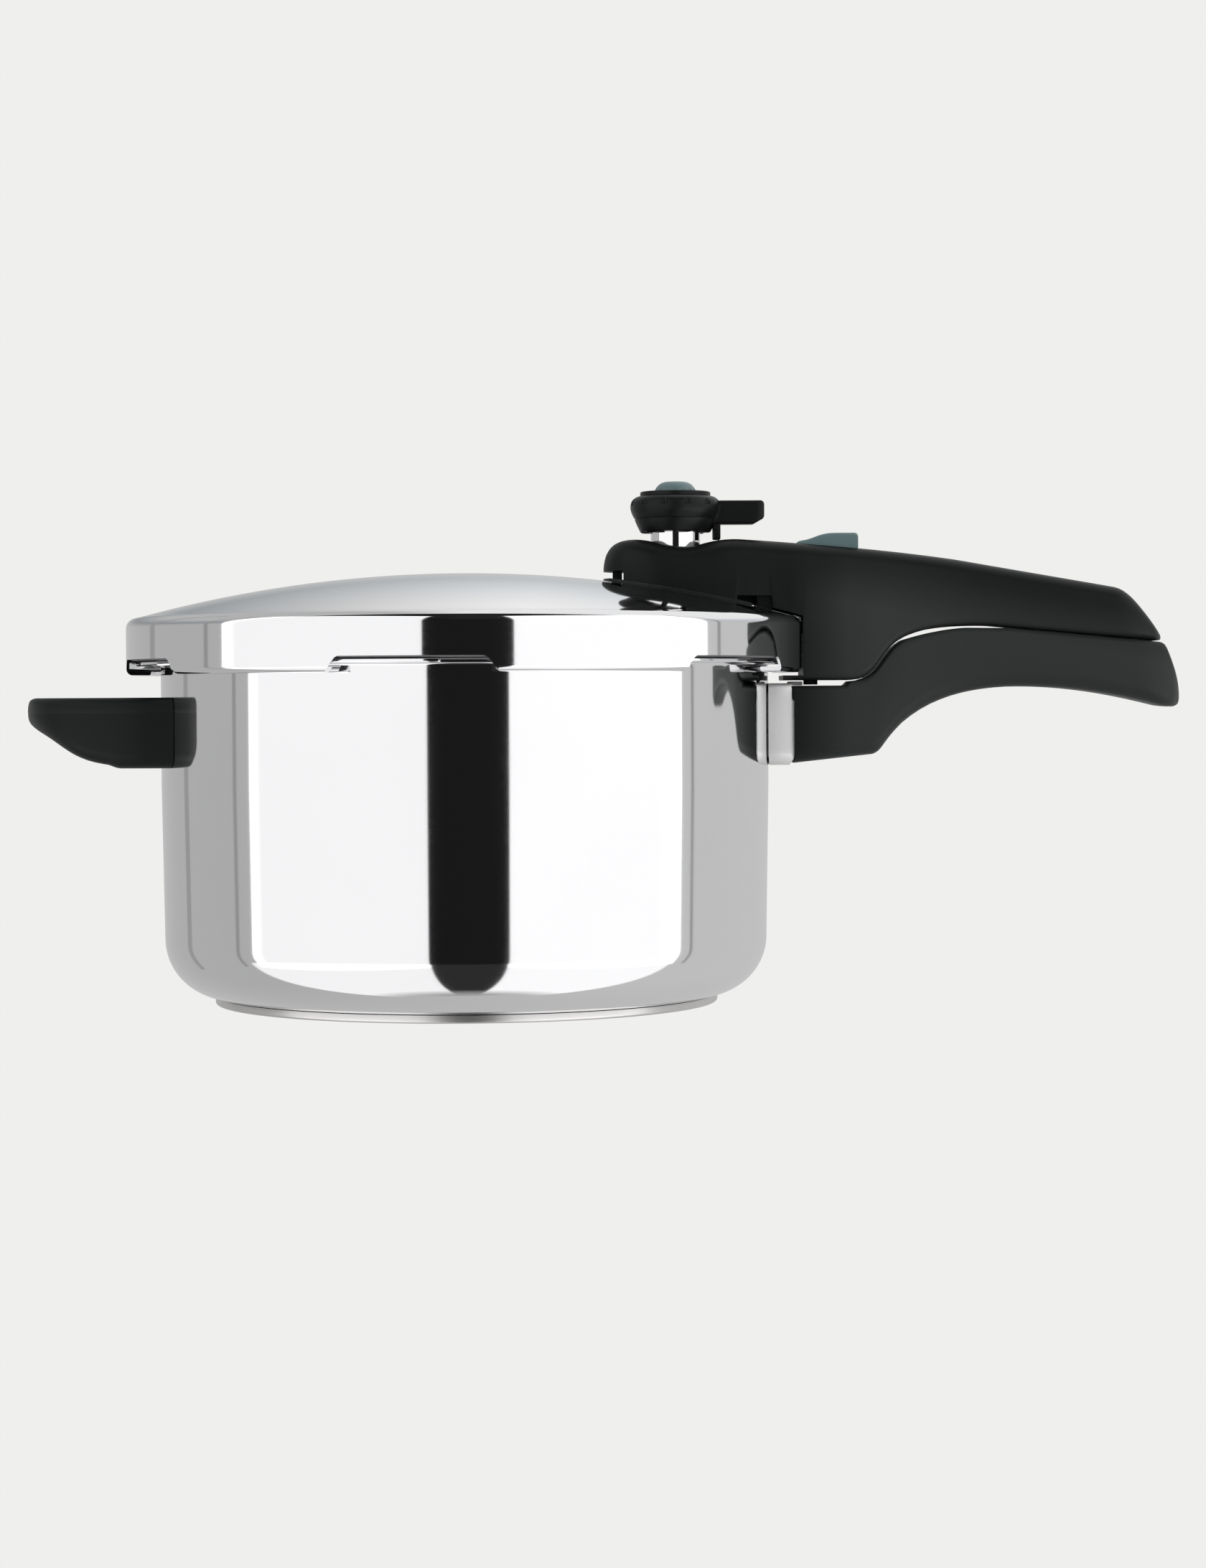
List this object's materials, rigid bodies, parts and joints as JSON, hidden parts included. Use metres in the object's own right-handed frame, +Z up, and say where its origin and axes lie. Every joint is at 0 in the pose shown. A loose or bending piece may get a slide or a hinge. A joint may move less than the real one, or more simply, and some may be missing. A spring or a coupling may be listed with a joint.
{
  "type": "stovetop pressure cooker",
  "caption": "Stovetop pressure cooker: straight-walled steel pot, domed bayonet lid, two-part long handle with sliding lock, helper handle and turning pressure valve.",
  "frame": {"origin": "on the pot's axis, in the plane of the base's underside", "axes": "+Z up along the pot axis, +X along the long handle"},
  "size_m": [0.418, 0.2446, 0.1883],
  "materials": {
    "pot_steel": "mirror polished stainless steel",
    "base_steel": "polished stainless steel, lightly scratched",
    "core_aluminium": "raw",
    "bracket_steel": "pressed steel",
    "guard_steel": "vertically brushed steel",
    "handle_black": "satin moulded phenolic",
    "base_black": "satin moulded plastic",
    "knob_black": "satin moulded plastic",
    "valve_chrome": "chromed",
    "blue_grey": "satin moulded plastic",
    "screw_steel": "zinc plated",
    "spring_steel": "drawn wire",
    "gasket_rubber": "matte silicone",
    "seal_rubber": "matte silicone"
  },
  "bodies": {
    "pot": {"pot_body": "pot_steel", "base_core": "core_aluminium", "base_cap": "base_steel", "pot_bracket": "bracket_steel", "flame_guard": "guard_steel", "pot_handle": "handle_black", "pot_handle_screw": "screw_steel", "helper_bracket": "bracket_steel", "helper_handle": "handle_black", "helper_screw": "screw_steel"},
    "lid_ring": {"gasket": "gasket_rubber"},
    "lid": {"lid_shell": "pot_steel", "lid_handle_shell": "handle_black", "lid_handle_base": "base_black", "lid_bracket": "bracket_steel", "lid_handle_screws": "screw_steel", "vent_tube": "bracket_steel", "vent_nut": "bracket_steel", "vent_spacer": "bracket_steel", "vent_seal": "seal_rubber", "vent_filter": "bracket_steel", "safety_plug": "seal_rubber", "float_seal": "seal_rubber", "valve_body": "valve_chrome", "valve_spring": "spring_steel", "pin_spring": "spring_steel"},
    "knob": {"valve_knob": "knob_black"},
    "needle": {"valve_plunger": "bracket_steel", "valve_cap": "blue_grey"},
    "slider": {"lock_slider": "blue_grey", "lock_bolt": "bracket_steel"},
    "pin": {"lock_pin": "bracket_steel"},
    "float": {"float_pin": "bracket_steel"}
  },
  "joints": [
    {"name": "lid_lift", "type": "slide", "parent": "pot", "child": "lid_ring", "axis": [0, 0, 1], "range_m": [0, 0.1]},
    {"name": "lid_turn", "type": "hinge", "parent": "lid_ring", "child": "lid", "pos_m": [0, 0, 0.14], "axis": [0, 0, 1], "range_deg": [0, 30]},
    {"name": "valve_turn", "type": "hinge", "parent": "lid", "child": "knob", "pos_m": [0.0766, 0, 0.17], "axis": [0, 0, 1], "range_deg": [-45, 45]},
    {"name": "valve_lift", "type": "slide", "parent": "lid", "child": "needle", "axis": [0, 0, 1], "range_m": [0, 0.0025], "stiffness_N_per_m": 300, "springref_m": -0.003, "deforming": ["valve_spring"]},
    {"name": "lock_slide", "type": "slide", "parent": "lid", "child": "slider", "axis": [-1, 0, 0], "range_m": [0, 0.008]},
    {"name": "pin_drop", "type": "slide", "parent": "lid", "child": "pin", "axis": [0, 0, -1], "range_m": [0, 0.006], "deforming": ["pin_spring"]},
    {"name": "float_lift", "type": "slide", "parent": "lid", "child": "float", "axis": [0, 0, 1], "range_m": [0, 0.004]}
  ],
  "couplings": [
    {"joint": "pin_drop", "follows": "lock_slide", "ratio": 0.75}
  ]
}
